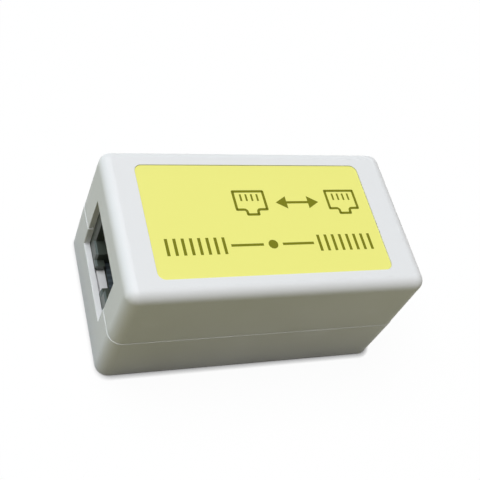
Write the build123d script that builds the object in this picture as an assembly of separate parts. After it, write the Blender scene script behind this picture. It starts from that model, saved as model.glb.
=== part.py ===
from build123d import *
import math
import os

# Inline coupler for two eight-way modular plugs, in millimetres.
# X runs along the coupler from port to port, Y across it and Z up.
# The origin is the centre of the underside.

# Case
length = 50.0
width = 27.4
height = 24.2
parting_height = 11.2
wall = 1.5
floor_thickness = 1.5
roof_thickness = 1.5
corner_radius = 2.2
smallest_corner = 0.2
top_edge_radius = 1.8
bottom_edge_chamfer = 0.3
draft_angle = 0.5
rim_chamfer = 0.12

# Tongue on the lower rim and the groove for it in the upper rim
tongue_thickness = 0.6
tongue_height = 0.8
tongue_clearance = 0.08

# Label and the shallow recess that it lies in
label_margin_left = 5.2
label_margin_right = 5.8
label_margin_side = 3.35
label_corner_radius = 1.2
label_thickness = 0.15
recess_depth = 0.25
recess_gap = 0.06

# Opening in each end wall: a thin lip laps the jack's face, and the jack sits in a rebate behind it.
# The lower half's opening is narrower by a small step at each side.
lip_thickness = 1.0
lip_overlap = 0.1
lip_chamfer = 0.15
window_step = 0.12
seat_gap = 0.1
face_gap = 0.05
rim_step = 0.08

# Jack housing, measured from its own front face, middle and underside
jack_side_wall = 1.6
jack_roof = 0.9
jack_rear_wall = 1.0
jack_edge_radius = 0.3

# Plug opening of the jack
plug_opening_width = 11.9
plug_opening_height = 6.75
plug_depth = 12.0
plug_mouth_chamfer = 0.3
latch_lip_thickness = 1.45
latch_slot_width = 6.6
latch_slot_depth = 1.6
latch_tip_width = 4.1
latch_tip_depth = 1.2
latch_pocket_width = 6.8
latch_pocket_end = 8.0

# Contact carrier, which closes the back of the jack and ends in a thin shelf over the plug
carrier_gap = 0.05
carrier_shelf_front = 3.0
carrier_shelf_thickness = 1.1
carrier_shelf_side = 0.62
comb_slot_depth = 1.2
comb_floor_gap = 0.2
catch_length = 1.6
catch_height = 2.4
catch_reach = 0.6
catch_from_back = 3.4
catch_above_base = 4.0
catch_gap = 0.1

# Contacts, stamped from strip
contact_count = 8
contact_pitch = 1.016
contact_width = 0.45
contact_thickness = 0.3
contact_slot_gap = 0.04
contact_shelf_gap = 0.05
contact_bezel_gap = 0.1
contact_tail_corner = 0.6
contact_slope = 21.0
contact_tip_reach = 0.7
contact_tail_below_jack = 3.2
tail_row_behind_plug = 2.2
tail_row_spacing = 2.54
tail_row_to_back = 1.26

# Locating pegs of the jack
peg_diameter = 3.2
peg_length = 2.8
peg_slit = 0.8
peg_from_side = 1.835
peg_to_tail_row = 6.35

# Circuit board and solder, with its small round forms as many-sided ones.
# The board and its jacks stand midway between the case's floor and roof, plus a small lift.
board_thickness = 1.6
board_side_margin = 0.15
board_end_gap = 0.2
board_peg_clearance = 0.1
board_tail_hole = 0.9
board_lift = 0.05
solder_diameter = 1.5
solder_tip_diameter = 0.8
solder_height = 0.7
small_round_sides = 12

# Shelf under each jack's nose with a groove behind the lip, board ribs and hold-down ribs inside the case
nose_shelf_depth = 2.65
nose_shelf_side = 1.0
nose_groove_width = 0.35
nose_groove_depth = 0.8
board_rib_thickness = 1.0
board_rib_inset = 1.2
hold_rib_thickness = 1.0
hold_rib_width = 11.0
hold_rib_gap = 0.05
hold_rib_from_face = 4.5
hold_rib_from_back = 3.5

# Posts that press the two halves together, with six-sided pins above and sockets below
post_diameter = 3.8
post_end_gap = 2.6
post_side_gap = 0.2
pin_sides = 6
pin_across_flats = 1.9
pin_length = 4.0
pin_clearance = 0.05
socket_extra_depth = 0.5

# Jack sizes that follow from what the jack holds
jack_width = plug_opening_width + 2 * jack_side_wall
plug_floor = latch_tip_depth + latch_slot_depth
plug_roof = plug_floor + plug_opening_height
contact_floor = plug_roof + carrier_shelf_thickness
contact_line = contact_floor + contact_thickness / 2
carrier_top = contact_floor + contact_thickness
jack_height = carrier_top + carrier_gap + jack_roof
tail_row_front = plug_depth + tail_row_behind_plug
jack_depth = tail_row_front + tail_row_spacing + tail_row_to_back
contact_bend_radius = (carrier_shelf_thickness + contact_thickness) / 2 + contact_shelf_gap
bezel_depth = carrier_shelf_front - contact_bend_radius - contact_thickness / 2 - contact_bezel_gap
carrier_shelf_width = (contact_count - 1) * contact_pitch + contact_width + 2 * carrier_shelf_side
peg_y = jack_width / 2 - peg_from_side
peg_from_face = tail_row_front - peg_to_tail_row

# Places in the case that follow from the sizes above
height_inside = height - floor_thickness - roof_thickness
board_base_height = floor_thickness + (height_inside - board_thickness - jack_height) / 2 + board_lift
jack_base_height = board_base_height + board_thickness
jack_top_height = jack_base_height + jack_height
jack_face_x = -length / 2 + lip_thickness + face_gap
window_width = jack_width - 2 * lip_overlap
window_bottom = jack_base_height + lip_overlap
window_top = jack_top_height - lip_overlap
label_length = length - label_margin_left - label_margin_right
label_width = width - 2 * label_margin_side
label_offset = (label_margin_left - label_margin_right) / 2
board_width = jack_width + 2 * board_side_margin
board_end_x = length / 2 - nose_shelf_depth - board_end_gap
post_x = length / 2 - wall - post_end_gap - post_diameter / 2
post_y = board_width / 2 + post_side_gap + post_diameter / 2
cut_margin = 1.0


def block(x_range, y_range, z_range):
    """A box between two limits on each axis."""
    sizes = [high - low for low, high in (x_range, y_range, z_range)]
    middle = [(low + high) / 2 for low, high in (x_range, y_range, z_range)]
    return Pos(*middle) * Box(*sizes)


def both_sides(half):
    """Limits that lie evenly about the middle."""
    return (-half, half)


def in_jack(solid):
    """Moves a solid from the jack's own frame to the port at the left end."""
    return Pos(jack_face_x, 0, jack_base_height) * solid


def turned(solid):
    """The same solid at the other end of the coupler."""
    return Rot(0, 0, 180) * solid


def contact_y(number):
    """Distance of a contact, counted from 0, from the middle of its jack."""
    return (number - (contact_count - 1) / 2) * contact_pitch


def tail_x(number):
    """Distance of a contact's tail from the jack's face: the tails stand in two staggered rows."""
    return tail_row_front + tail_row_spacing * (number % 2)


# Case halves


def rim_outline(inset):
    """Outline of the case at the parting plane, moved inwards."""
    radius = max(corner_radius - inset, smallest_corner)
    return RectangleRounded(length - 2 * inset, width - 2 * inset, radius)


def case_block(depth, direction, inset):
    """A solid half of the case, drafted away from the parting plane."""
    start = Plane((0, 0, parting_height), x_dir=(1, 0, 0), z_dir=(0, 0, direction))
    return extrude(start * rim_outline(inset), amount=depth, taper=draft_angle)


def case_hollow(depth, direction):
    """The space inside one half of the case."""
    start = Plane((0, 0, parting_height), x_dir=(1, 0, 0), z_dir=(0, 0, direction))
    return extrude(start * rim_outline(wall), amount=depth)


def rim_ring(inner_inset, outer_inset, ring_height):
    """A ring that stands on the parting plane between two insets from the case's outside."""
    plane = Plane((0, 0, parting_height))
    ring = extrude(plane * rim_outline(outer_inset), amount=ring_height)
    return ring - extrude(plane * rim_outline(inner_inset), amount=ring_height)


def window_cut(opening_width):
    """The opening in both end walls: a chamfered hole, and behind its lip the rebate for the jack's nose."""
    opening_height = window_top - window_bottom
    middle = (window_top + window_bottom) / 2
    outside = Plane((-length / 2, 0, middle), x_dir=(0, 1, 0), z_dir=(1, 0, 0))
    hole = block(
        (-length / 2 - cut_margin, -length / 2 + wall + cut_margin),
        both_sides(opening_width / 2),
        (window_bottom, window_top),
    )
    flare_outline = Rectangle(opening_width + 2 * lip_chamfer, opening_height + 2 * lip_chamfer)
    flare = extrude(outside * flare_outline, amount=lip_chamfer, taper=45)
    rebate = block(
        (-length / 2 + lip_thickness, -length / 2 + nose_shelf_depth),
        both_sides(jack_width / 2 + seat_gap),
        (jack_base_height - seat_gap, jack_top_height + seat_gap),
    )
    cut = hole + flare + rebate
    return cut, turned(cut)


def post_places():
    """Centres of the four posts."""
    return [(side_x * post_x, side_y * post_y) for side_x in (-1, 1) for side_y in (-1, 1)]


def upright(diameter, place, z_range):
    """A round post between two heights."""
    low, high = z_range
    return Pos(*place, (low + high) / 2) * Cylinder(diameter / 2, high - low)


def many_sided(across_flats, sides, place, z_range):
    """An upright bar with flat sides between two heights."""
    low, high = z_range
    outline = RegularPolygon(across_flats / 2, sides, major_radius=False)
    return extrude(Plane((*place, low)) * outline, amount=high - low)


def rib_across(middle_x, thickness, rib_width, z_range):
    """A flat rib across the case."""
    return block((middle_x - thickness / 2, middle_x + thickness / 2), both_sides(rib_width / 2), z_range)


def make_upper_shell():
    depth = height - parting_height
    ceiling = height - roof_thickness
    solid = case_block(depth, 1, rim_step)
    corner_at_top = corner_radius - rim_step - depth * math.tan(math.radians(draft_angle))
    top_edges = solid.faces().sort_by(Axis.Z)[-1].edges()
    solid = fillet(top_edges, min(top_edge_radius, corner_at_top - smallest_corner))
    shell = solid - case_hollow(depth - roof_thickness, 1)
    for place in post_places():
        shell += solid & upright(post_diameter, place, (parting_height, ceiling))
    groove_depth = tongue_height + tongue_clearance
    groove_inset = wall - tongue_thickness - tongue_clearance
    shell -= rim_ring(wall + tongue_clearance, groove_inset, groove_depth)
    for place in post_places():
        pin_heights = (parting_height - pin_length, parting_height + groove_depth)
        shell += many_sided(pin_across_flats, pin_sides, place, pin_heights)
    for cut in window_cut(window_width):
        shell -= cut
    recess = RectangleRounded(
        label_length + 2 * recess_gap,
        label_width + 2 * recess_gap,
        label_corner_radius + recess_gap,
    )
    recess_floor = Plane((label_offset, 0, height - recess_depth))
    shell -= extrude(recess_floor * recess, amount=recess_depth + cut_margin)
    for distance in (hold_rib_from_face, jack_depth - hold_rib_from_back):
        heights = (jack_top_height + hold_rib_gap, ceiling)
        rib = rib_across(jack_face_x + distance, hold_rib_thickness, hold_rib_width, heights)
        shell += rib + turned(rib)
    return shell


def make_lower_shell():
    solid = case_block(parting_height, -1, 0)
    underside = solid.faces().sort_by(Axis.Z)[0]
    solid = chamfer(underside.edges(), bottom_edge_chamfer)
    rim = solid.faces().sort_by(Axis.Z)[-1]
    solid = chamfer(rim.edges(), rim_chamfer)
    shell = solid - case_hollow(parting_height - floor_thickness, -1)
    shell += rim_ring(wall, wall - tongue_thickness, tongue_height)
    shelf = block(
        (-length / 2 + wall / 2, -length / 2 + nose_shelf_depth),
        both_sides(jack_width / 2 + nose_shelf_side),
        (floor_thickness, jack_base_height - seat_gap),
    )
    groove = block(
        (-length / 2 + lip_thickness, -length / 2 + lip_thickness + nose_groove_width),
        both_sides(jack_width / 2 + seat_gap),
        (jack_base_height - seat_gap - nose_groove_depth, jack_base_height),
    )
    shell += shelf + turned(shelf)
    shell -= groove + turned(groove)
    for cut in window_cut(window_width - 2 * window_step):
        shell -= cut
    socket_heights = (parting_height - pin_length - socket_extra_depth, parting_height + tongue_height)
    for place in post_places():
        shell += solid & upright(post_diameter, place, (floor_thickness, parting_height))
        shell -= many_sided(pin_across_flats + 2 * pin_clearance, pin_sides, place, socket_heights)
    end_rib_x = board_end_x - board_rib_inset
    for rib_x in (-end_rib_x, 0, end_rib_x):
        shell += rib_across(rib_x, board_rib_thickness, board_width, (floor_thickness, board_base_height))
    return shell


def make_label():
    outline = RectangleRounded(label_length, label_width, label_corner_radius)
    recess_floor = Plane((label_offset, 0, height - recess_depth))
    return extrude(recess_floor * outline, amount=label_thickness)


# Jack, in its own frame: X inwards from its face, Z up from its underside


def mouth_edges(body):
    """Edges of the stepped opening on the jack's face, without the face's own outline."""
    face = body.faces().sort_by(Axis.X)[0]
    inside_y = jack_width / 2 - jack_edge_radius
    inside_z = (jack_edge_radius, jack_height - jack_edge_radius)
    return [
        edge
        for edge in face.edges()
        if abs(edge.center().Y) < inside_y and inside_z[0] < edge.center().Z < inside_z[1]
    ]


def make_jack_housing():
    body = block((0, jack_depth), both_sides(jack_width / 2), (0, jack_height))
    body = fillet(body.edges().filter_by(Axis.X), jack_edge_radius)
    opening_half = plug_opening_width / 2
    body -= block((-cut_margin, plug_depth), both_sides(opening_half), (plug_floor, plug_roof))
    body -= block(
        (-cut_margin, latch_lip_thickness),
        both_sides(latch_slot_width / 2),
        (latch_tip_depth, plug_floor + cut_margin),
    )
    body -= block(
        (-cut_margin, latch_lip_thickness),
        both_sides(latch_tip_width / 2),
        (-cut_margin, latch_tip_depth + cut_margin),
    )
    body = chamfer(mouth_edges(body), plug_mouth_chamfer)
    body -= block(
        (latch_lip_thickness, latch_pocket_end),
        both_sides(latch_pocket_width / 2),
        (-cut_margin, plug_floor + cut_margin),
    )
    shelf_half = carrier_shelf_width / 2 + carrier_gap
    under_roof = jack_height - jack_roof
    body -= block((bezel_depth, jack_depth), both_sides(shelf_half), (plug_roof - cut_margin, under_roof))
    rear_half = jack_width / 2 - jack_rear_wall
    body -= block((plug_depth, jack_depth + cut_margin), both_sides(rear_half), (-cut_margin, under_roof))
    catch_back = jack_depth - catch_from_back
    body -= block(
        (catch_back - catch_length - catch_gap, catch_back + catch_gap),
        both_sides(jack_width),
        (catch_above_base - catch_gap, catch_above_base + catch_height + catch_gap),
    )
    for side in (-1, 1):
        peg = upright(peg_diameter, (peg_from_face, side * peg_y), (-peg_length, 0))
        slit_x = (peg_from_face - peg_slit / 2, peg_from_face + peg_slit / 2)
        slit_y = (side * peg_y - peg_diameter, side * peg_y + peg_diameter)
        body += peg - block(slit_x, slit_y, (-peg_length - cut_margin, -board_thickness / 2))
    return body


def make_contact_carrier():
    rear_half = jack_width / 2 - jack_rear_wall - carrier_gap
    body = block((plug_depth, jack_depth), both_sides(rear_half), (0, carrier_top))
    shelf_half = carrier_shelf_width / 2
    body += block((carrier_shelf_front, jack_depth), both_sides(shelf_half), (plug_roof, carrier_top))
    catch_back = jack_depth - catch_from_back
    for side in (-1, 1):
        catch = Polygon(
            (catch_back - catch_length, side * (rear_half - carrier_gap)),
            (catch_back, side * (rear_half - carrier_gap)),
            (catch_back, side * (rear_half + catch_reach)),
            align=None,
        )
        body += extrude(Pos(0, 0, catch_above_base) * catch, amount=catch_height, dir=(0, 0, 1))
    half_slot = contact_width / 2 + contact_slot_gap
    half_channel = contact_thickness / 2 + contact_slot_gap
    comb_floor = beam_points()[1][1] - contact_thickness - comb_floor_gap
    above = carrier_top + cut_margin
    for number in range(contact_count):
        across = (contact_y(number) - half_slot, contact_y(number) + half_slot)
        tail = tail_x(number)
        body -= block((carrier_shelf_front - cut_margin, tail), across, (contact_floor, above))
        body -= block((tail - half_channel, tail + half_channel), across, (-cut_margin, above))
        corner = (tail - contact_tail_corner - half_channel, tail + half_channel)
        corner_floor = contact_line - contact_tail_corner - half_channel
        body -= block(corner, across, (corner_floor, above))
        comb = (plug_depth - cut_margin, plug_depth + comb_slot_depth)
        body -= block(comb, across, (comb_floor, plug_roof))
    return body


def beam_points():
    """Where a contact's sloping beam leaves the bend, and its tip in the comb, as X and Z."""
    slope = math.radians(contact_slope)
    start_x = carrier_shelf_front - contact_bend_radius * math.sin(slope)
    start_z = contact_line - contact_bend_radius * (1 + math.cos(slope))
    tip_x = plug_depth + contact_tip_reach
    return (start_x, start_z), (tip_x, start_z - (tip_x - start_x) * math.tan(slope))


def make_contact(number):
    """One contact: tail, run over the carrier's shelf, tight bend, and beam sloping back to the comb."""
    y = contact_y(number)
    tail = tail_x(number)
    beam_start, beam_tip = [Vector(x, y, z) for x, z in beam_points()]
    tail_end = Vector(tail, y, -contact_tail_below_jack)
    corner_low = Vector(tail, y, contact_line - contact_tail_corner)
    corner_high = Vector(tail - contact_tail_corner, y, contact_line)
    run_end = Vector(carrier_shelf_front, y, contact_line)
    bend_middle = Vector(carrier_shelf_front - contact_bend_radius, y, contact_line - contact_bend_radius)
    path = Wire(
        [
            Edge.make_line(tail_end, corner_low),
            Edge.make_line(corner_low, corner_high),
            Edge.make_line(corner_high, run_end),
            Edge.make_three_point_arc(run_end, bend_middle, beam_start),
            Edge.make_line(beam_start, beam_tip),
        ]
    )
    section = Plane(tail_end, x_dir=(1, 0, 0), z_dir=(0, 0, 1)) * Rectangle(contact_thickness, contact_width)
    return sweep(section, path=path, transition=Transition.RIGHT)


# Circuit board and solder


def make_circuit_board():
    board = block(
        both_sides(board_end_x),
        both_sides(board_width / 2),
        (board_base_height, jack_base_height),
    )
    through = (-board_thickness - cut_margin, cut_margin)
    peg_hole = peg_diameter + 2 * board_peg_clearance
    holes = []
    for side in (-1, 1):
        holes.append(many_sided(peg_hole, small_round_sides, (peg_from_face, side * peg_y), through))
    for number in range(contact_count):
        place = (tail_x(number), contact_y(number))
        holes.append(many_sided(board_tail_hole, small_round_sides, place, through))
    for hole in holes:
        board -= in_jack(hole)
        board -= turned(in_jack(hole))
    return board


def make_solder_joints():
    """The cones of solder round one jack's tails, under the board."""
    joints = []
    for number in range(contact_count):
        x = tail_x(number)
        y = contact_y(number)
        wide = Plane((x, y, -board_thickness)) * RegularPolygon(solder_diameter / 2, small_round_sides)
        tip = Plane((x, y, -board_thickness - solder_height))
        narrow = tip * RegularPolygon(solder_tip_diameter / 2, small_round_sides)
        hole = block(
            (x - contact_thickness / 2, x + contact_thickness / 2),
            (y - contact_width / 2, y + contact_width / 2),
            (-board_thickness - solder_height - cut_margin, cut_margin),
        )
        joints.append(loft([wide, narrow], ruled=True) - hole)
    return joints


def save(name, shape):
    export_step(shape, f"parts/{name}.step")


def main():
    os.makedirs("parts", exist_ok=True)
    save("upper_shell", make_upper_shell())
    save("lower_shell", make_lower_shell())
    save("label", make_label())
    save("circuit_board", make_circuit_board())
    housing = make_jack_housing()
    carrier = make_contact_carrier()
    save("jack_housing_left", in_jack(housing))
    save("jack_housing_right", turned(in_jack(housing)))
    save("contact_carrier_left", in_jack(carrier))
    save("contact_carrier_right", turned(in_jack(carrier)))
    for number in range(contact_count):
        contact = make_contact(number)
        save(f"contact_left_{number + 1}", in_jack(contact))
        save(f"contact_right_{number + 1}", turned(in_jack(contact)))
    solder = make_solder_joints()
    save("solder_left", Compound([in_jack(joint) for joint in solder]))
    save("solder_right", Compound([turned(in_jack(joint)) for joint in solder]))


main()
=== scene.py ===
import math

import bmesh
import bpy
from bpy.props import FloatProperty, FloatVectorProperty, IntProperty, PointerProperty
from mathutils import Matrix, Quaternion, Vector


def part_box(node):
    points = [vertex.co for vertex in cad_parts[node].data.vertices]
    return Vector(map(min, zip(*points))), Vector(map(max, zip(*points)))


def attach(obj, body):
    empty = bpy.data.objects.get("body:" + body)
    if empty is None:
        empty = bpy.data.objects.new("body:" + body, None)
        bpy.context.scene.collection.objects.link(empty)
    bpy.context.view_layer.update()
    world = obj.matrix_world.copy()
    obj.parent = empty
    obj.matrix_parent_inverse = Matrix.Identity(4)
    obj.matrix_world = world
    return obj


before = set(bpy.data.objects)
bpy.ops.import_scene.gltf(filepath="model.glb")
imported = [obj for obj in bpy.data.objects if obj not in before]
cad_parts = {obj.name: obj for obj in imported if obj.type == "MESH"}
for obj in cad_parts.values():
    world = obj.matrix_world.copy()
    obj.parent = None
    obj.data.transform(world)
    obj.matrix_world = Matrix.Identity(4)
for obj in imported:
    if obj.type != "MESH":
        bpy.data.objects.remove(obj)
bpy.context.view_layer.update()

bl_info = {
    "name": "Inline Coupler",
    "version": (1, 0, 0),
    "blender": (4, 5, 0),
    "location": "3D View > Sidebar > Coupler",
    "description": "Finishes an inline network coupler and sets up its studio",
    "category": "Object",
}

BODY = "root"
MM = 0.001
SIDES = ("left", "right")
CONTACTS_PER_JACK = 8
WHITE = (1.0, 1.0, 1.0)
BLACK = (0.0, 0.0, 0.0)
SCUFF_TURNS = (0.35, -0.9)
SCUFF_STRETCH = (0.12, 1.0, 0.3)
SCUFF_LIMITS = (0.66, 0.74)
BOARD_FACE_LIMIT = 0.5
CLOTH_SCALE = 1500.0
CLOTH_STRETCH = (0.1, 0.1, 5.0)
CORNER_SEGMENTS = 3
CIRCLE_SEGMENTS = 32
SENSOR_WIDTH = 36.0
CLIP_START = 0.01


# Node and material helpers


def new_node(tree, kind, place, settings=None, **values):
    """Adds a node, sets its own settings and the default values of its inputs."""
    node = tree.nodes.new(kind)
    node.location = (place[0] * 200, place[1] * -220)
    for name, value in (settings or {}).items():
        setattr(node, name, value)
    for name, value in values.items():
        node.inputs[name.replace("_", " ")].default_value = value
    return node


def opaque(color):
    """A colour as four values."""
    return (*color, 1.0)


def darker(color, share):
    """A colour at a share of its brightness."""
    return [value * share for value in color]


def new_material(name):
    """A material with an empty tree, its shader and its output."""
    material = bpy.data.materials.new(name)
    material.use_nodes = True
    tree = material.node_tree
    tree.nodes.clear()
    shader = new_node(tree, "ShaderNodeBsdfPrincipled", (6, 0))
    output = new_node(tree, "ShaderNodeOutputMaterial", (8, 0))
    tree.links.new(shader.outputs["BSDF"], output.inputs["Surface"])
    return material, tree, shader


def color_mix(tree, place, first=None, second=None):
    """A node that goes from one colour to another."""
    mix = new_node(tree, "ShaderNodeMix", place, {"data_type": "RGBA"})
    for name, color in (("A", first), ("B", second)):
        if color is not None:
            mix.inputs[name].default_value = opaque(color)
    return mix


def calculation(tree, place, operation, value=None):
    """A node that calculates, with its second value if that is fixed."""
    node = new_node(tree, "ShaderNodeMath", place, {"operation": operation})
    if value is not None:
        node.inputs[1].default_value = value
    return node


def ramp(tree, place, low, high):
    """A node that goes from 0 to 1 between two values."""
    node = new_node(tree, "ShaderNodeMapRange", place)
    node.inputs["From Min"].default_value = low
    node.inputs["From Max"].default_value = high
    return node


def source(shader, name):
    """The socket that feeds one of a shader's inputs."""
    return shader.inputs[name].links[0].from_socket


def group_socket(tree, name, kind, value=None, output=False):
    """Adds a socket to a node group."""
    side = "OUTPUT" if output else "INPUT"
    socket = tree.interface.new_socket(name=name, in_out=side, socket_type=kind)
    if value is not None:
        socket.default_value = value


def surface_grain_group():
    """Colour mottle, uneven gloss and fine grain that more than one finish uses."""
    name = "surface_grain"
    if name in bpy.data.node_groups:
        return bpy.data.node_groups[name]
    tree = bpy.data.node_groups.new(name, "ShaderNodeTree")
    group_socket(tree, "Color", "NodeSocketColor", (0.8, 0.8, 0.8, 1.0))
    group_socket(tree, "Shade Color", "NodeSocketColor", (0.7, 0.7, 0.7, 1.0))
    group_socket(tree, "Mottle", "NodeSocketFloat", 0.2)
    group_socket(tree, "Cloud Scale", "NodeSocketFloat", 120.0)
    group_socket(tree, "Grain Scale", "NodeSocketFloat", 3500.0)
    group_socket(tree, "Grain Stretch", "NodeSocketVector", (1.0, 1.0, 1.0))
    group_socket(tree, "Roughness", "NodeSocketFloat", 0.45)
    group_socket(tree, "Roughness Spread", "NodeSocketFloat", 0.1)
    group_socket(tree, "Color", "NodeSocketColor", output=True)
    group_socket(tree, "Roughness", "NodeSocketFloat", output=True)
    group_socket(tree, "Height", "NodeSocketFloat", output=True)
    group_in = new_node(tree, "NodeGroupInput", (0, 0))
    group_out = new_node(tree, "NodeGroupOutput", (6, 0))
    place = new_node(tree, "ShaderNodeTexCoord", (0, 2))
    clouds = new_node(tree, "ShaderNodeTexNoise", (1, 1), Detail=3.0, Roughness=0.55)
    grain = new_node(tree, "ShaderNodeTexNoise", (1, 3), Detail=2.0, Roughness=0.6)
    stretch = new_node(tree, "ShaderNodeVectorMath", (1, 4), {"operation": "MULTIPLY"})
    share = calculation(tree, (2, 0), "MULTIPLY")
    tint = color_mix(tree, (3, 0))
    spread = calculation(tree, (3, 2), "MULTIPLY_ADD")
    centred = calculation(tree, (2, 2), "SUBTRACT", 0.5)
    link = tree.links.new
    link(place.outputs["Object"], clouds.inputs["Vector"])
    link(place.outputs["Object"], stretch.inputs[0])
    link(group_in.outputs["Grain Stretch"], stretch.inputs[1])
    link(stretch.outputs["Vector"], grain.inputs["Vector"])
    link(group_in.outputs["Cloud Scale"], clouds.inputs["Scale"])
    link(group_in.outputs["Grain Scale"], grain.inputs["Scale"])
    link(clouds.outputs["Fac"], share.inputs[0])
    link(group_in.outputs["Mottle"], share.inputs[1])
    link(share.outputs["Value"], tint.inputs["Factor"])
    link(group_in.outputs["Color"], tint.inputs["A"])
    link(group_in.outputs["Shade Color"], tint.inputs["B"])
    link(tint.outputs["Result"], group_out.inputs["Color"])
    link(clouds.outputs["Fac"], centred.inputs[0])
    link(centred.outputs["Value"], spread.inputs[0])
    link(group_in.outputs["Roughness Spread"], spread.inputs[1])
    link(group_in.outputs["Roughness"], spread.inputs[2])
    link(spread.outputs["Value"], group_out.inputs["Roughness"])
    link(grain.outputs["Fac"], group_out.inputs["Height"])
    return tree


def scuff_group():
    """Fine straight rubs that show as a change of gloss."""
    name = "scuffs"
    if name in bpy.data.node_groups:
        return bpy.data.node_groups[name]
    tree = bpy.data.node_groups.new(name, "ShaderNodeTree")
    group_socket(tree, "Roughness", "NodeSocketFloat", 0.5)
    group_socket(tree, "Scuffed Roughness", "NodeSocketFloat", 0.3)
    group_socket(tree, "Scale", "NodeSocketFloat", 900.0)
    group_socket(tree, "Roughness", "NodeSocketFloat", output=True)
    group_in = new_node(tree, "NodeGroupInput", (0, 0))
    group_out = new_node(tree, "NodeGroupOutput", (7, 0))
    place = new_node(tree, "ShaderNodeTexCoord", (0, 2))
    both = calculation(tree, (4, 1), "MAXIMUM")
    gloss = new_node(tree, "ShaderNodeMix", (5, 0))
    link = tree.links.new
    for number, turn in enumerate(SCUFF_TURNS):
        row = number + 1
        lay = new_node(tree, "ShaderNodeMapping", (1, row), Rotation=(0.0, 0.0, turn), Scale=SCUFF_STRETCH)
        noise = new_node(tree, "ShaderNodeTexNoise", (2, row), Detail=1.0, Roughness=0.4)
        rub = ramp(tree, (3, row), *SCUFF_LIMITS)
        link(place.outputs["Object"], lay.inputs["Vector"])
        link(lay.outputs["Vector"], noise.inputs["Vector"])
        link(group_in.outputs["Scale"], noise.inputs["Scale"])
        link(noise.outputs["Fac"], rub.inputs["Value"])
        link(rub.outputs["Result"], both.inputs[number])
    link(both.outputs["Value"], gloss.inputs["Factor"])
    link(group_in.outputs["Roughness"], gloss.inputs["A"])
    link(group_in.outputs["Scuffed Roughness"], gloss.inputs["B"])
    link(gloss.outputs["Result"], group_out.inputs["Roughness"])
    return tree


def add_scuffs(tree, shader, scuffed_roughness, scale):
    """Lets a finish show fine rubs."""
    scuffs = new_node(tree, "ShaderNodeGroup", (4, 1))
    scuffs.node_tree = scuff_group()
    scuffs.inputs["Scuffed Roughness"].default_value = scuffed_roughness
    scuffs.inputs["Scale"].default_value = scale
    tree.links.new(source(shader, "Roughness"), scuffs.inputs["Roughness"])
    tree.links.new(scuffs.outputs["Roughness"], shader.inputs["Roughness"])


def grained_material(
    name, color, shade, mottle, cloud_scale, grain_scale, roughness, spread, depth, stretch=(1.0, 1.0, 1.0)
):
    """A finish whose colour, gloss and bump come from the shared grain."""
    material, tree, shader = new_material(name)
    grain = new_node(tree, "ShaderNodeGroup", (2, 0))
    grain.node_tree = surface_grain_group()
    values = {
        "Color": opaque(color),
        "Shade Color": opaque(shade),
        "Mottle": mottle,
        "Cloud Scale": cloud_scale,
        "Grain Scale": grain_scale,
        "Grain Stretch": stretch,
        "Roughness": roughness,
        "Roughness Spread": spread,
    }
    for socket, value in values.items():
        grain.inputs[socket].default_value = value
    bump = new_node(tree, "ShaderNodeBump", (4, 2), Strength=1.0, Distance=depth)
    link = tree.links.new
    link(grain.outputs["Color"], shader.inputs["Base Color"])
    link(grain.outputs["Roughness"], shader.inputs["Roughness"])
    link(grain.outputs["Height"], bump.inputs["Height"])
    link(bump.outputs["Normal"], shader.inputs["Normal"])
    return material, tree, shader


def paint(material, *nodes):
    """Puts a material on CAD nodes."""
    for name in nodes:
        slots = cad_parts[name].data.materials
        slots.clear()
        slots.append(material)


def add_piece(name, mesh_builder, material):
    """Makes a mesh object that rides on the coupler's one body."""
    mesh = bpy.data.meshes.new(name)
    mesh_builder.normal_update()
    mesh_builder.to_mesh(mesh)
    mesh_builder.free()
    mesh.materials.append(material)
    piece = bpy.data.objects.new(name, mesh)
    bpy.context.scene.collection.objects.link(piece)
    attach(piece, BODY)


# Settings


def color_setting(name, description, default):
    """A colour that the user can change."""
    return FloatVectorProperty(
        name=name, description=description, default=default, size=3, subtype="COLOR"
    )


def direction_setting(name, description, default):
    """A direction that the user can change."""
    return FloatVectorProperty(
        name=name, description=description, default=default, size=3, subtype="DIRECTION"
    )


def length_setting(name, description, millimetres):
    """A length that the user can change, given in millimetres."""
    return FloatProperty(
        name=name, description=description, default=millimetres * MM, precision=6, unit="LENGTH"
    )


def angle_setting(name, description, degrees):
    """An angle that the user can change, given in degrees."""
    return FloatProperty(
        name=name, description=description, default=math.radians(degrees), subtype="ANGLE"
    )


def factor_setting(name, description, default):
    """A share between 0 and 1 that the user can change."""
    return FloatProperty(
        name=name, description=description, default=default, min=0.0, max=1.0, subtype="FACTOR"
    )


class CouplerCaseSettings(bpy.types.PropertyGroup):
    plastic_color: color_setting("Plastic", "Colour of the moulded case", (0.79, 0.785, 0.80))
    shade_color: color_setting("Shade", "Slightly darker tone in the mottle", (0.745, 0.745, 0.745))
    grain_scale: FloatProperty(
        name="Grain Scale", description="Scale of the moulded grain", default=5200.0, min=1.0
    )
    grain_depth: length_setting("Grain Depth", "Height of the moulded grain", 0.016)
    roughness: factor_setting("Roughness", "How matte the plastic is", 0.5)
    scuffed_roughness: factor_setting("Scuffed Roughness", "Gloss of the fine rubs", 0.42)


class CouplerLabelSettings(bpy.types.PropertyGroup):
    film_color: color_setting("Film", "Colour of the label", (0.845, 0.817, 0.209))
    film_shade: color_setting("Film Shade", "Second tone of the label", (0.82, 0.782, 0.18))
    roughness: factor_setting("Roughness", "How matte the film is", 0.5)
    scuffed_roughness: factor_setting("Scuffed Roughness", "Gloss of the fine rubs", 0.42)


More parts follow.
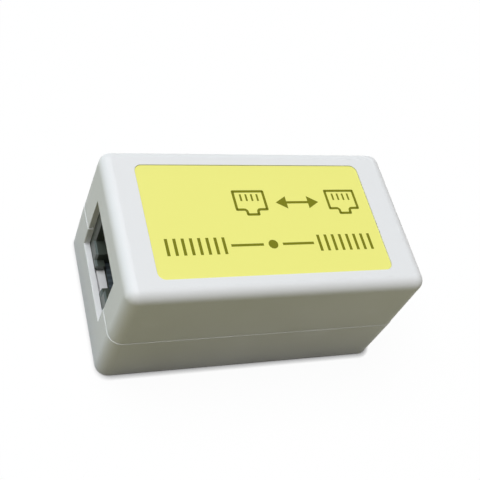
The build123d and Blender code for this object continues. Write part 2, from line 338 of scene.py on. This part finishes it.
class CouplerPrintSettings(bpy.types.PropertyGroup):
    ink_color: color_setting("Ink", "Colour of the printed marks", (0.18, 0.18, 0.007))
    ink_shade: color_setting("Ink Shade", "Thinner places in the ink", (0.24, 0.24, 0.014))
    ink_shine: factor_setting("Ink Shine", "How strongly the ink reflects", 0.12)
    ink_thickness: length_setting("Ink Thickness", "How far the ink stands on the film", 0.02)
    line_width: length_setting("Line Width", "Width of the printed lines", 0.44)
    margin: length_setting("Margin", "From the print's ends to the label's edges", 2.1)
    upper_row: length_setting("Upper Row", "Middle of the sockets, from the label's middle", 2.95)
    lower_row: length_setting("Lower Row", "Middle of the bars, from the label's middle", -4.9)
    socket_width: length_setting("Socket Width", "Width of a printed socket", 5.6)
    socket_height: length_setting("Socket Height", "Height of a printed socket", 4.9)
    socket_step_width: length_setting("Step Width", "Width of the socket's step", 2.3)
    socket_step_depth: length_setting("Step Depth", "Depth of the socket's step", 0.95)
    socket_corner: length_setting("Socket Corner", "Rounding of the socket's corners", 0.25)
    socket_spacing: length_setting("Socket Spacing", "From the middle of one socket to the other's", 16.4)
    tick_width: length_setting("Tick Width", "Width of a contact mark in a socket", 0.32)
    tick_height: length_setting("Tick Height", "Height of a contact mark in a socket", 1.3)
    tick_pitch: length_setting("Tick Pitch", "Spacing of the contact marks", 0.95)
    tick_gap: length_setting("Tick Gap", "From the contact marks to the socket's line", 0.35)
    arrow_length: length_setting("Arrow Length", "Length of the double arrow", 7.6)
    arrow_head_length: length_setting("Arrow Head Length", "Length of each head", 1.9)
    arrow_head_width: length_setting("Arrow Head Width", "Width of each head", 2.4)
    bar_width: length_setting("Bar Width", "Width of a bar in the lower row", 0.48)
    bar_height: length_setting("Bar Height", "Height of a bar in the lower row", 3.0)
    bar_pitch: length_setting("Bar Pitch", "Spacing of the bars in the lower row", 1.3)
    dot_diameter: length_setting("Dot Diameter", "Size of the dot between the bars", 1.6)
    tick_count: IntProperty(name="Ticks", description="Contact marks in a socket", default=4, min=1)
    bar_count: IntProperty(name="Bars", description="Bars at each end of the lower row", default=8, min=1)


class CouplerJackSettings(bpy.types.PropertyGroup):
    housing_color: color_setting("Housing", "Colour of the jack bodies", (0.066, 0.08, 0.066))
    carrier_color: color_setting("Carrier", "Colour of the contact carriers", (0.02, 0.02, 0.02))
    contact_color: color_setting("Contacts", "Colour of the gold-plated contacts", (0.85, 0.62, 0.25))
    tail_color: color_setting("Tails", "Colour of the tin-plated tails", (0.66, 0.66, 0.67))
    plating_end: length_setting("Plating End", "Height of the gold's lower end", 8.6)
    plating_blend: length_setting("Plating Blend", "Height over which gold gives way to tin", 0.3)
    roughness: factor_setting("Roughness", "Gloss of the jack bodies", 0.35)


class CouplerBoardSettings(bpy.types.PropertyGroup):
    mask_color: color_setting("Solder Mask", "Colour of the circuit board", (0.06, 0.075, 0.088))
    track_color: color_setting("Tracks", "Colour of the mask over copper", (0.085, 0.108, 0.125))
    edge_color: color_setting("Laminate", "Colour of the cut edges", (0.11, 0.12, 0.09))
    track_pitch: length_setting("Track Pitch", "Spacing of the tracks", 1.02)
    track_share: factor_setting("Track Share", "Share of the pitch that is copper", 0.45)
    track_blur: factor_setting("Track Blur", "Softness of the tracks' edges", 0.1)
    track_height: length_setting("Track Height", "How far the tracks lift the mask", 0.02)
    solder_color: color_setting("Solder", "Colour of the solder", (0.62, 0.63, 0.64))


class CouplerStageSettings(bpy.types.PropertyGroup):
    azimuth: angle_setting("Azimuth", "Camera's turn from the front", 37.74)
    elevation: angle_setting("Elevation", "Camera's height angle", 50.72)
    roll: angle_setting("Roll", "Camera's tilt about its view", 29.215)
    distance: length_setting("Distance", "Camera's distance from its aim", 151.85)
    aim: FloatVectorProperty(
        name="Aim",
        description="Point that the camera looks at",
        default=(0.414 * MM, 3.87 * MM, 12.0 * MM),
        size=3,
        precision=6,
        subtype="XYZ",
        unit="LENGTH",
    )
    focal_length: FloatProperty(
        name="Focal Length", description="Lens in millimetres", default=67.18, min=1.0
    )
    key_direction: direction_setting("Key Direction", "Where the key light comes from", (-0.25, 0.17, 1.0))
    key_color: color_setting("Key Color", "Tint of the key light", (0.955, 0.975, 0.99))
    key_strength: FloatProperty(
        name="Key Strength", description="Strength of the key light", default=3.12, min=0.0
    )
    fill_direction: direction_setting("Fill Direction", "Where the fill light comes from", (-1.0, 0.9, 0.15))
    fill_color: color_setting("Fill Color", "Tint of the fill light", (0.49, 0.80, 1.0))
    fill_strength: FloatProperty(
        name="Fill Strength", description="Strength of the fill light", default=0.7, min=0.0
    )
    softness: angle_setting("Softness", "Angle of both lights, as seen from the object", 50.0)
    ambient_color: color_setting("Ambient", "Light from all round", (0.038, 0.038, 0.022))
    bounce_color: color_setting("Bounce", "Floor as the object sees it", (0.35, 0.335, 0.16))
    shadow_share: factor_setting("Shadow", "How much of the floor's brightness a shadow takes", 0.05)
    # Painted shade: these set how near the object, and how steeply, the floor's colour is darkened for the
    # light it throws up.
    bounce_reach: length_setting(
        "Bounce Reach", "How near the object the floor gives back less light", 30.0
    )
    bounce_falloff: FloatProperty(
        name="Bounce Falloff",
        description="How fast the floor gives back less light near the object",
        default=3.5,
        min=1.0,
    )
    # Painted shadow: these set how far the dark line along the object's foot reaches, and the side on which
    # it is weaker.
    contact_shadow_reach: length_setting("Contact Reach", "How far the dark line at the underside reaches", 0.9)
    contact_shadow_lean: FloatVectorProperty(
        name="Contact Lean",
        description="Side on which the dark line is weaker",
        default=(-1.0, 0.6),
        size=2,
    )
    floor_size: length_setting("Floor Size", "Side of the floor", 4000.0)


# Case


class COUPLER_OT_case(bpy.types.Operator):
    """Finishes both halves of the case"""

    bl_idname = "coupler.case"
    bl_label = "Case"

    def execute(self, context):
        look = context.scene.coupler_case
        plastic, tree, shader = grained_material(
            "case_plastic",
            look.plastic_color,
            look.shade_color,
            mottle=0.5,
            cloud_scale=90.0,
            grain_scale=look.grain_scale,
            roughness=look.roughness,
            spread=0.12,
            depth=look.grain_depth,
        )
        add_scuffs(tree, shader, look.scuffed_roughness, scale=2200.0)
        paint(plastic, "upper_shell", "lower_shell")
        return {"FINISHED"}


# Label


class COUPLER_OT_label(bpy.types.Operator):
    """Finishes the label's film"""

    bl_idname = "coupler.label"
    bl_label = "Label"

    def execute(self, context):
        look = context.scene.coupler_label
        film, tree, shader = grained_material(
            "label_film",
            look.film_color,
            look.film_shade,
            mottle=0.5,
            cloud_scale=60.0,
            grain_scale=7000.0,
            roughness=look.roughness,
            spread=0.1,
            depth=0.005 * MM,
        )
        add_scuffs(tree, shader, look.scuffed_roughness, scale=2600.0)
        paint(film, "label")
        return {"FINISHED"}


class COUPLER_OT_print(bpy.types.Operator):
    """Prints two sockets with a double arrow, and a row of bars, on the label"""

    bl_idname = "coupler.print"
    bl_label = "Print"

    def execute(self, context):
        look = context.scene.coupler_print
        ink, _, shader = grained_material(
            "ink",
            look.ink_color,
            look.ink_shade,
            mottle=0.5,
            cloud_scale=1500.0,
            grain_scale=6000.0,
            roughness=0.5,
            spread=0.15,
            depth=0.001 * MM,
        )
        shader.inputs["Specular IOR Level"].default_value = look.ink_shine
        low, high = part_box("label")
        middle_y = (low[1] + high[1]) / 2
        right_socket_x = high[0] - look.margin - look.socket_width / 2
        upper_y = middle_y + look.upper_row
        sockets = bmesh.new()
        for x in (right_socket_x - look.socket_spacing, right_socket_x):
            print_socket(sockets, look, x, upper_y)
        arrow = bmesh.new()
        print_arrow(arrow, look, right_socket_x - look.socket_spacing / 2, upper_y)
        bars = bmesh.new()
        print_bars(bars, look, low[0] + look.margin, high[0] - look.margin, middle_y + look.lower_row)
        for name, marks in (("print_sockets", sockets), ("print_arrow", arrow), ("print_bars", bars)):
            raise_ink(marks, high[2], look.ink_thickness)
            add_piece(name, marks, ink)
        return {"FINISHED"}


def flat_bar(marks, x_range, y_range):
    """A flat rectangle of ink between two limits each way."""
    size = Matrix.Diagonal((x_range[1] - x_range[0], y_range[1] - y_range[0], 1.0, 1.0))
    place = Matrix.Translation((sum(x_range) / 2, sum(y_range) / 2, 0.0))
    bmesh.ops.create_grid(marks, x_segments=1, y_segments=1, size=0.5, matrix=place @ size)


def flat_outline(marks, points):
    """A flat face of ink with the given corners."""
    return marks.faces.new([marks.verts.new((x, y, 0.0)) for x, y in points])


def print_socket(marks, look, x, y):
    """The stepped line of a socket, and its contact marks."""
    side = look.socket_width / 2
    top = look.socket_height / 2
    step = look.socket_step_width / 2
    shoulder = look.socket_step_depth - top
    right_half = [(step, -top), (step, shoulder), (side, shoulder), (side, top)]
    left_half = [(-across, up) for across, up in reversed(right_half)]
    face = flat_outline(marks, [(x + across, y + up) for across, up in right_half + left_half])
    rounded = bmesh.ops.bevel(
        marks,
        geom=face.verts[:],
        affect="VERTICES",
        offset=look.socket_corner,
        segments=CORNER_SEGMENTS,
        profile=0.5,
        material=-1,
    )
    inside = rounded["verts"][0].link_faces[:]
    bmesh.ops.inset_region(
        marks, faces=inside, thickness=look.line_width, use_boundary=True, use_even_offset=True
    )
    bmesh.ops.delete(marks, geom=inside, context="FACES_ONLY")
    tick_top = y + top - look.line_width - look.tick_gap
    for number in range(look.tick_count):
        tick_x = x + (number - (look.tick_count - 1) / 2) * look.tick_pitch
        across = (tick_x - look.tick_width / 2, tick_x + look.tick_width / 2)
        flat_bar(marks, across, (tick_top - look.tick_height, tick_top))


def print_arrow(marks, look, x, y):
    """A double arrow between the two sockets."""
    tip = look.arrow_length / 2
    neck = tip - look.arrow_head_length
    barb = look.arrow_head_width / 2
    shaft = look.line_width / 2
    upper = [(tip, 0.0), (neck, barb), (neck, shaft), (-neck, shaft), (-neck, barb), (-tip, 0.0)]
    lower = [(across, -up) for across, up in reversed(upper[1:-1])]
    flat_outline(marks, [(x + across, y + up) for across, up in upper + lower])


def print_bars(marks, look, left, right, y):
    """Bars at both ends of the lower row, and a broken line with a dot between them."""
    reach = (look.bar_count - 1) * look.bar_pitch + look.bar_width
    heights = (y - look.bar_height / 2, y + look.bar_height / 2)
    for number in range(look.bar_count):
        for start in (left, right - reach):
            bar_left = start + number * look.bar_pitch
            flat_bar(marks, (bar_left, bar_left + look.bar_width), heights)
    dot_x = (left + right) / 2
    bmesh.ops.create_circle(
        marks,
        cap_ends=True,
        segments=CIRCLE_SEGMENTS,
        radius=look.dot_diameter / 2,
        matrix=Matrix.Translation((dot_x, y, 0.0)),
    )
    gap = look.bar_pitch - look.bar_width
    line = (y - look.line_width / 2, y + look.line_width / 2)
    dot_left = dot_x - look.dot_diameter / 2 - gap
    dot_right = dot_x + look.dot_diameter / 2 + gap
    flat_bar(marks, (left + reach + gap, dot_left), line)
    flat_bar(marks, (dot_right, right - reach - gap), line)


def raise_ink(marks, level, thickness):
    """Lifts flat marks to the label's face and gives them their thickness."""
    bmesh.ops.translate(marks, verts=marks.verts[:], vec=(0.0, 0.0, level))
    top = bmesh.ops.extrude_face_region(marks, geom=marks.faces[:], use_keep_orig=True)
    top_verts = [part for part in top["geom"] if isinstance(part, bmesh.types.BMVert)]
    bmesh.ops.translate(marks, verts=top_verts, vec=(0.0, 0.0, thickness))
    bmesh.ops.recalc_face_normals(marks, faces=marks.faces[:])


# Jacks, contacts and circuit board


class COUPLER_OT_jacks(bpy.types.Operator):
    """Finishes the jack bodies and their contact carriers"""

    bl_idname = "coupler.jacks"
    bl_label = "Jacks"

    def execute(self, context):
        look = context.scene.coupler_jacks
        housing, _, _ = grained_material(
            "jack_plastic",
            look.housing_color,
            darker(look.housing_color, 0.7),
            mottle=0.6,
            cloud_scale=500.0,
            grain_scale=6000.0,
            roughness=look.roughness,
            spread=0.3,
            depth=0.008 * MM,
        )
        carrier, _, _ = grained_material(
            "carrier_plastic",
            look.carrier_color,
            darker(look.carrier_color, 0.6),
            mottle=0.6,
            cloud_scale=300.0,
            grain_scale=4000.0,
            roughness=0.5,
            spread=0.15,
            depth=0.003 * MM,
        )
        for side in SIDES:
            paint(housing, f"jack_housing_{side}")
            paint(carrier, f"contact_carrier_{side}")
        return {"FINISHED"}


class COUPLER_OT_contacts(bpy.types.Operator):
    """Finishes the contact springs"""

    bl_idname = "coupler.contacts"
    bl_label = "Contacts"

    def execute(self, context):
        look = context.scene.coupler_jacks
        metal, tree, shader = grained_material(
            "contact_metal",
            look.contact_color,
            darker(look.contact_color, 0.8),
            mottle=0.6,
            cloud_scale=900.0,
            grain_scale=9000.0,
            roughness=0.3,
            spread=0.15,
            depth=0.001 * MM,
            stretch=(0.05, 1.0, 0.05),
        )
        shader.inputs["Metallic"].default_value = 1.0
        place = new_node(tree, "ShaderNodeTexCoord", (0, 4))
        axes = new_node(tree, "ShaderNodeSeparateXYZ", (1, 4))
        plated = ramp(tree, (2, 4), look.plating_end, look.plating_end + look.plating_blend)
        color = color_mix(tree, (4, 0), first=look.tail_color)
        link = tree.links.new
        link(place.outputs["Object"], axes.inputs["Vector"])
        link(axes.outputs["Z"], plated.inputs["Value"])
        link(plated.outputs["Result"], color.inputs["Factor"])
        link(source(shader, "Base Color"), color.inputs["B"])
        link(color.outputs["Result"], shader.inputs["Base Color"])
        for side in SIDES:
            paint(metal, *[f"contact_{side}_{number + 1}" for number in range(CONTACTS_PER_JACK)])
        return {"FINISHED"}


class COUPLER_OT_board(bpy.types.Operator):
    """Finishes the circuit board and its solder joints"""

    bl_idname = "coupler.board"
    bl_label = "Circuit Board"

    def execute(self, context):
        look = context.scene.coupler_board
        board, tree, shader = grained_material(
            "board_laminate",
            look.mask_color,
            darker(look.mask_color, 0.75),
            mottle=0.5,
            cloud_scale=400.0,
            grain_scale=2500.0,
            roughness=0.3,
            spread=0.2,
            depth=0.003 * MM,
        )
        add_tracks(tree, shader, look)
        add_cut_edges(tree, shader, look)
        paint(board, "circuit_board")
        solder, _, solder_shader = grained_material(
            "solder",
            look.solder_color,
            darker(look.solder_color, 0.8),
            mottle=0.6,
            cloud_scale=1200.0,
            grain_scale=6000.0,
            roughness=0.28,
            spread=0.2,
            depth=0.004 * MM,
        )
        solder_shader.inputs["Metallic"].default_value = 1.0
        paint(solder, "solder_left", "solder_right")
        return {"FINISHED"}


def add_tracks(tree, shader, look):
    """Straight copper tracks that show through the solder mask, in colour and in height."""
    place = new_node(tree, "ShaderNodeTexCoord", (0, 5))
    axes = new_node(tree, "ShaderNodeSeparateXYZ", (1, 5))
    pitch = calculation(tree, (2, 5), "PINGPONG", look.track_pitch / 2)
    edge = look.track_pitch / 2 * look.track_share
    copper = ramp(tree, (3, 5), edge * (1 + look.track_blur), edge * (1 - look.track_blur))
    color = color_mix(tree, (5, 0), second=look.track_color)
    raised = new_node(tree, "ShaderNodeBump", (5, 3), Strength=1.0, Distance=look.track_height)
    link = tree.links.new
    link(place.outputs["Object"], axes.inputs["Vector"])
    link(axes.outputs["Y"], pitch.inputs[0])
    link(pitch.outputs["Value"], copper.inputs["Value"])
    link(copper.outputs["Result"], color.inputs["Factor"])
    link(source(shader, "Base Color"), color.inputs["A"])
    link(color.outputs["Result"], shader.inputs["Base Color"])
    link(copper.outputs["Result"], raised.inputs["Height"])
    link(source(shader, "Normal"), raised.inputs["Normal"])
    link(raised.outputs["Normal"], shader.inputs["Normal"])


def add_cut_edges(tree, shader, look):
    """Bare laminate with its layers of glass cloth where the board is cut."""
    place = new_node(tree, "ShaderNodeTexCoord", (0, 7))
    axes = new_node(tree, "ShaderNodeSeparateXYZ", (1, 7))
    face = calculation(tree, (2, 7), "ABSOLUTE")
    flat = calculation(tree, (3, 7), "GREATER_THAN", BOARD_FACE_LIMIT)
    lay = new_node(tree, "ShaderNodeMapping", (1, 8), Scale=CLOTH_STRETCH)
    layers = new_node(tree, "ShaderNodeTexNoise", (2, 8), Scale=CLOTH_SCALE, Detail=1.0)
    cloth = color_mix(tree, (4, 8), look.edge_color, darker(look.edge_color, 0.6))
    color = color_mix(tree, (5, 1))
    link = tree.links.new
    link(place.outputs["Normal"], axes.inputs["Vector"])
    link(axes.outputs["Z"], face.inputs[0])
    link(face.outputs["Value"], flat.inputs[0])
    link(place.outputs["Object"], lay.inputs["Vector"])
    link(lay.outputs["Vector"], layers.inputs["Vector"])
    link(layers.outputs["Fac"], cloth.inputs["Factor"])
    link(flat.outputs["Value"], color.inputs["Factor"])
    link(cloth.outputs["Result"], color.inputs["A"])
    link(source(shader, "Base Color"), color.inputs["B"])
    link(color.outputs["Result"], shader.inputs["Base Color"])


# Stage


class COUPLER_OT_stage(bpy.types.Operator):
    """Sets up the floor, the light and the camera"""

    bl_idname = "coupler.stage"
    bl_label = "Stage"

    def execute(self, context):
        look = context.scene.coupler_stage
        add_floor(look)
        add_light(look)
        add_camera(look)
        context.scene.view_settings.view_transform = "Standard"
        return {"FINISHED"}


def seen_directly(tree, place):
    """A mask that is 1 for camera, glossy and transmission rays."""
    rays = new_node(tree, "ShaderNodeLightPath", place)
    glossy = calculation(tree, (place[0] + 1, place[1]), "MAXIMUM")
    through = calculation(tree, (place[0] + 2, place[1]), "MAXIMUM")
    link = tree.links.new
    link(rays.outputs["Is Camera Ray"], glossy.inputs[0])
    link(rays.outputs["Is Glossy Ray"], glossy.inputs[1])
    link(glossy.outputs["Value"], through.inputs[0])
    link(rays.outputs["Is Transmission Ray"], through.inputs[1])
    return through.outputs["Value"]


def openness(tree, place, reach, samples):
    """A node that is 1 in the open and falls to 0 where something stands near; the floor uses it to paint
    shade and shadow.
    """
    return new_node(tree, "ShaderNodeAmbientOcclusion", place, {"samples": samples}, Distance=reach)


def add_floor(look):
    """A floor that looks white, with a painted shadow along the object's foot and painted shade near the
    object, so that it throws less light up.
    """
    builder = bmesh.new()
    bmesh.ops.create_grid(builder, x_segments=1, y_segments=1, size=look.floor_size / 2)
    mesh = bpy.data.meshes.new("floor")
    builder.to_mesh(mesh)
    builder.free()
    floor = bpy.data.objects.new("floor", mesh)
    bpy.context.scene.collection.objects.link(floor)
    material, tree, shader = new_material("floor_white")
    mask = seen_directly(tree, (0, 0))
    # Painted shade: ambient occlusion darkens the floor's colour near the object, for the light it throws up
    # onto the object.
    near = openness(tree, (0, 4), look.bounce_reach, samples=4)
    falloff = calculation(tree, (1, 4), "POWER", look.bounce_falloff)
    bounce = color_mix(tree, (2, 4), BLACK, look.bounce_color)
    color = color_mix(tree, (4, 0), second=[look.shadow_share] * 3)
    # Painted shadow: ambient occlusion darkens the floor's glow along the object's foot, leaning so that it
    # is weaker on one side.
    lean_x, lean_y = look.contact_shadow_lean
    away = new_node(tree, "ShaderNodeCombineXYZ", (-1, 2), X=lean_x, Y=lean_y, Z=1.0)
    contact = openness(tree, (0, 2), look.contact_shadow_reach, samples=8)
    lit = calculation(tree, (1, 2), "MULTIPLY", 1.0 - look.shadow_share)
    glow = calculation(tree, (4, 2), "MULTIPLY")
    link = tree.links.new
    link(near.outputs["AO"], falloff.inputs[0])
    link(falloff.outputs["Value"], bounce.inputs["Factor"])
    link(bounce.outputs["Result"], color.inputs["A"])
    link(mask, color.inputs["Factor"])
    link(color.outputs["Result"], shader.inputs["Base Color"])
    link(away.outputs["Vector"], contact.inputs["Normal"])
    link(contact.outputs["AO"], lit.inputs[0])
    link(mask, glow.inputs[0])
    link(lit.outputs["Value"], glow.inputs[1])
    link(glow.outputs["Value"], shader.inputs["Emission Strength"])
    shader.inputs["Emission Color"].default_value = opaque(WHITE)
    shader.inputs["Specular IOR Level"].default_value = 0.0
    shader.inputs["Roughness"].default_value = 1.0
    mesh.materials.append(material)


def add_soft_light(name, direction, color, strength, softness):
    """A large soft light, far away in one direction."""
    sun = bpy.data.lights.new(name, "SUN")
    sun.energy = strength
    sun.color = color
    sun.angle = softness
    lamp = bpy.data.objects.new(name, sun)
    bpy.context.scene.collection.objects.link(lamp)
    lamp.rotation_mode = "QUATERNION"
    lamp.rotation_quaternion = Vector(direction).to_track_quat("Z", "Y")


def add_light(look):
    """A soft key light from above, a weak cool fill from the left and an even surround."""
    add_soft_light("key", look.key_direction, look.key_color, look.key_strength, look.softness)
    add_soft_light("fill", look.fill_direction, look.fill_color, look.fill_strength, look.softness)
    world = bpy.data.worlds.new("surround")
    bpy.context.scene.world = world
    world.use_nodes = True
    tree = world.node_tree
    tree.nodes.clear()
    mask = seen_directly(tree, (0, 0))
    color = color_mix(tree, (4, 0), look.ambient_color, WHITE)
    background = new_node(tree, "ShaderNodeBackground", (5, 0), Strength=1.0)
    output = new_node(tree, "ShaderNodeOutputWorld", (6, 0))
    link = tree.links.new
    link(mask, color.inputs["Factor"])
    link(color.outputs["Result"], background.inputs["Color"])
    link(background.outputs["Background"], output.inputs["Surface"])


def add_camera(look):
    """The camera at the photograph's viewing angle."""
    lens = bpy.data.cameras.new("camera")
    lens.lens = look.focal_length
    lens.sensor_width = SENSOR_WIDTH
    lens.clip_start = CLIP_START
    camera = bpy.data.objects.new("camera", lens)
    bpy.context.scene.collection.objects.link(camera)
    flat = math.cos(look.elevation)
    view = Vector((math.sin(look.azimuth) * flat, math.cos(look.azimuth) * flat, -math.sin(look.elevation)))
    camera.rotation_mode = "QUATERNION"
    camera.rotation_quaternion = view.to_track_quat("-Z", "Y") @ Quaternion((0, 0, 1), look.roll)
    camera.location = Vector(look.aim) - view * look.distance
    bpy.context.scene.camera = camera


# Panel and registration

PANEL_ROWS = (
    ("coupler_case", ("coupler.case",)),
    ("coupler_label", ("coupler.label",)),
    ("coupler_print", ("coupler.print",)),
    ("coupler_jacks", ("coupler.jacks", "coupler.contacts")),
    ("coupler_board", ("coupler.board",)),
    ("coupler_stage", ("coupler.stage",)),
)


class COUPLER_PT_panel(bpy.types.Panel):
    """Lists the coupler's settings and steps"""

    bl_idname = "COUPLER_PT_panel"
    bl_label = "Inline Coupler"
    bl_space_type = "VIEW_3D"
    bl_region_type = "UI"
    bl_category = "Coupler"

    def draw(self, context):
        for settings, operators in PANEL_ROWS:
            box = self.layout.box()
            group = getattr(context.scene, settings)
            for name in group.__annotations__:
                box.prop(group, name)
            for operator in operators:
                box.operator(operator)


SETTINGS = {
    "coupler_case": CouplerCaseSettings,
    "coupler_label": CouplerLabelSettings,
    "coupler_print": CouplerPrintSettings,
    "coupler_jacks": CouplerJackSettings,
    "coupler_board": CouplerBoardSettings,
    "coupler_stage": CouplerStageSettings,
}

CLASSES = (
    *SETTINGS.values(),
    COUPLER_OT_case,
    COUPLER_OT_label,
    COUPLER_OT_print,
    COUPLER_OT_jacks,
    COUPLER_OT_contacts,
    COUPLER_OT_board,
    COUPLER_OT_stage,
    COUPLER_PT_panel,
)


def register():
    for cls in CLASSES:
        bpy.utils.register_class(cls)
    for name, group in SETTINGS.items():
        setattr(bpy.types.Scene, name, PointerProperty(type=group))


def unregister():
    for name in SETTINGS:
        delattr(bpy.types.Scene, name)
    for cls in reversed(CLASSES):
        bpy.utils.unregister_class(cls)


def main():
    register()
    bpy.ops.coupler.stage()
    bpy.ops.coupler.case()
    bpy.ops.coupler.label()
    bpy.ops.coupler.print()
    bpy.ops.coupler.jacks()
    bpy.ops.coupler.contacts()
    bpy.ops.coupler.board()


if __name__ == "__main__":
    main()
